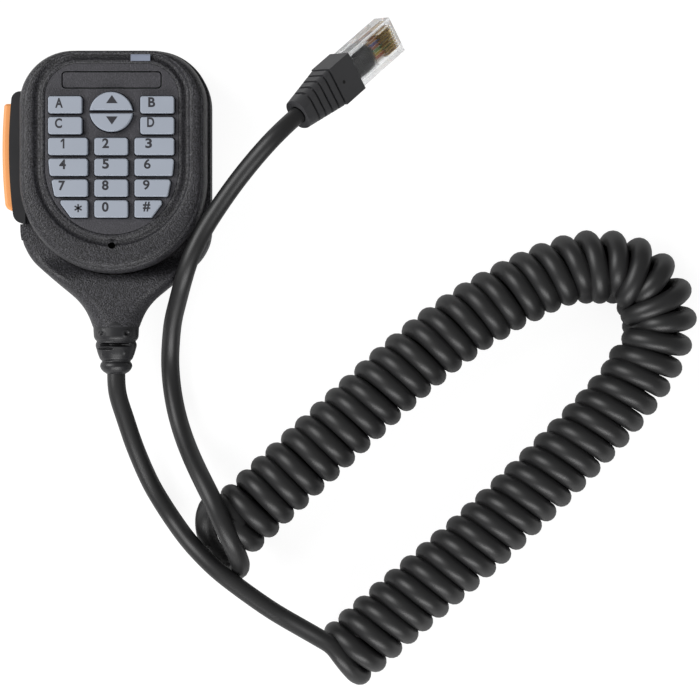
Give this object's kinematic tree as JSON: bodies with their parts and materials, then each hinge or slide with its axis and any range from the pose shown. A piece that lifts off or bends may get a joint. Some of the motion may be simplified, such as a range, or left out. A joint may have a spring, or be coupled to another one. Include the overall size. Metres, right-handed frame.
{
  "type": "hand microphone",
  "caption": "Hand-held push-to-talk microphone with an alphanumeric keypad, curly cord and modular plug.",
  "frame": {"origin": "centre of the hanger button's end face, on the surface that the microphone lies on", "axes": "+Z out of the keypad face, +Y to the top of the microphone away from the cord, +X to the right of the keypad"},
  "size_m": [0.2092, 0.2035, 0.0346],
  "materials": {
    "case_plastic": "fine moulded grain",
    "key_plastic": "satin",
    "mat_rubber": "soft",
    "board_laminate": "solder mask",
    "chip_plastic": "matt",
    "header_plastic": "matt",
    "lamp_plastic": "clear tinted",
    "clear_plastic": "clear polished",
    "boot_rubber": "matt",
    "cord_jacket": "satin",
    "orange_plastic": "satin",
    "steel": "plated",
    "brass": "gold plated",
    "switch_plastic": "matt",
    "wire_jackets": "satin",
    "capsule_metal": "satin"
  },
  "bodies": {
    "case": {"front_cover": "case_plastic", "rear_shell": "case_plastic", "key_mat": "mat_rubber", "circuit_board": "board_laminate", "board_chips": "chip_plastic", "board_header": "header_plastic", "lamp_lens": "lamp_plastic", "lamp_chip": "header_plastic", "mic_boot": "boot_rubber", "mic_capsule": "capsule_metal", "case_screws": "steel", "board_screws": "steel", "hanger_button": "steel", "hanger_nut": "steel", "ptt_frame": "switch_plastic", "ptt_pin": "steel", "ptt_spring": "steel", "ptt_switch": "switch_plastic", "strain_relief": "boot_rubber", "cord_inside": "cord_jacket", "cord_tie": "header_plastic", "inner_wires": "wire_jackets", "plug_body": "clear_plastic", "plug_contacts": "brass", "plug_wires": "wire_jackets", "plug_jacket": "cord_jacket", "plug_boot": "boot_rubber", "cord_mic_tail": "cord_jacket", "cord_coil": "cord_jacket", "cord_plug_tail": "cord_jacket"},
    "lever": {"ptt_lever": "orange_plastic"},
    "plunger": {"ptt_plunger": "header_plastic"},
    "latch": {"plug_latch": "clear_plastic"},
    "key_a_body": {"key_a": "key_plastic"},
    "key_b_body": {"key_b": "key_plastic"},
    "key_c_body": {"key_c": "key_plastic"},
    "key_d_body": {"key_d": "key_plastic"},
    "key_up_body": {"key_up": "key_plastic"},
    "key_down_body": {"key_down": "key_plastic"},
    "key_1_body": {"key_1": "key_plastic"},
    "key_2_body": {"key_2": "key_plastic"},
    "key_3_body": {"key_3": "key_plastic"},
    "key_4_body": {"key_4": "key_plastic"},
    "key_5_body": {"key_5": "key_plastic"},
    "key_6_body": {"key_6": "key_plastic"},
    "key_7_body": {"key_7": "key_plastic"},
    "key_8_body": {"key_8": "key_plastic"},
    "key_9_body": {"key_9": "key_plastic"},
    "key_star_body": {"key_star": "key_plastic"},
    "key_0_body": {"key_0": "key_plastic"},
    "key_hash_body": {"key_hash": "key_plastic"}
  },
  "joints": [
    {"name": "ptt_press", "type": "hinge", "parent": "case", "child": "lever", "pos_m": [-0.0286, 0.0161, 0.015], "axis": [0, 0, 1], "range_deg": [0, 3], "stiffness_Nm_per_rad": 0.5, "deforming": ["ptt_spring"]},
    {"name": "ptt_plunger_slide", "type": "slide", "parent": "case", "child": "plunger", "axis": [1, 0, 0], "range_m": [0, 0.0013]},
    {"name": "latch_squeeze", "type": "hinge", "parent": "case", "child": "latch", "pos_m": [0.07858, 0.03935, 0.00308], "axis": [-0.4233, 0.7982, 0.4286], "range_deg": [0, 9], "stiffness_Nm_per_rad": 0.1},
    {"name": "key_a_press", "type": "slide", "parent": "case", "child": "key_a_body", "axis": [0, 0, -1], "range_m": [0, 0.0008], "stiffness_N_per_m": 1000},
    {"name": "key_b_press", "type": "slide", "parent": "case", "child": "key_b_body", "axis": [0, 0, -1], "range_m": [0, 0.0008], "stiffness_N_per_m": 1000},
    {"name": "key_c_press", "type": "slide", "parent": "case", "child": "key_c_body", "axis": [0, 0, -1], "range_m": [0, 0.0008], "stiffness_N_per_m": 1000},
    {"name": "key_d_press", "type": "slide", "parent": "case", "child": "key_d_body", "axis": [0, 0, -1], "range_m": [0, 0.0008], "stiffness_N_per_m": 1000},
    {"name": "key_up_press", "type": "slide", "parent": "case", "child": "key_up_body", "axis": [0, 0, -1], "range_m": [0, 0.0008], "stiffness_N_per_m": 1000},
    {"name": "key_down_press", "type": "slide", "parent": "case", "child": "key_down_body", "axis": [0, 0, -1], "range_m": [0, 0.0008], "stiffness_N_per_m": 1000},
    {"name": "key_1_press", "type": "slide", "parent": "case", "child": "key_1_body", "axis": [0, 0, -1], "range_m": [0, 0.0008], "stiffness_N_per_m": 1000},
    {"name": "key_2_press", "type": "slide", "parent": "case", "child": "key_2_body", "axis": [0, 0, -1], "range_m": [0, 0.0008], "stiffness_N_per_m": 1000},
    {"name": "key_3_press", "type": "slide", "parent": "case", "child": "key_3_body", "axis": [0, 0, -1], "range_m": [0, 0.0008], "stiffness_N_per_m": 1000},
    {"name": "key_4_press", "type": "slide", "parent": "case", "child": "key_4_body", "axis": [0, 0, -1], "range_m": [0, 0.0008], "stiffness_N_per_m": 1000},
    {"name": "key_5_press", "type": "slide", "parent": "case", "child": "key_5_body", "axis": [0, 0, -1], "range_m": [0, 0.0008], "stiffness_N_per_m": 1000},
    {"name": "key_6_press", "type": "slide", "parent": "case", "child": "key_6_body", "axis": [0, 0, -1], "range_m": [0, 0.0008], "stiffness_N_per_m": 1000},
    {"name": "key_7_press", "type": "slide", "parent": "case", "child": "key_7_body", "axis": [0, 0, -1], "range_m": [0, 0.0008], "stiffness_N_per_m": 1000},
    {"name": "key_8_press", "type": "slide", "parent": "case", "child": "key_8_body", "axis": [0, 0, -1], "range_m": [0, 0.0008], "stiffness_N_per_m": 1000},
    {"name": "key_9_press", "type": "slide", "parent": "case", "child": "key_9_body", "axis": [0, 0, -1], "range_m": [0, 0.0008], "stiffness_N_per_m": 1000},
    {"name": "key_star_press", "type": "slide", "parent": "case", "child": "key_star_body", "axis": [0, 0, -1], "range_m": [0, 0.0008], "stiffness_N_per_m": 1000},
    {"name": "key_0_press", "type": "slide", "parent": "case", "child": "key_0_body", "axis": [0, 0, -1], "range_m": [0, 0.0008], "stiffness_N_per_m": 1000},
    {"name": "key_hash_press", "type": "slide", "parent": "case", "child": "key_hash_body", "axis": [0, 0, -1], "range_m": [0, 0.0008], "stiffness_N_per_m": 1000}
  ],
  "couplings": [
    {"joint": "ptt_plunger_slide", "follows": "ptt_press", "m_per_rad": 0.0231}
  ]
}
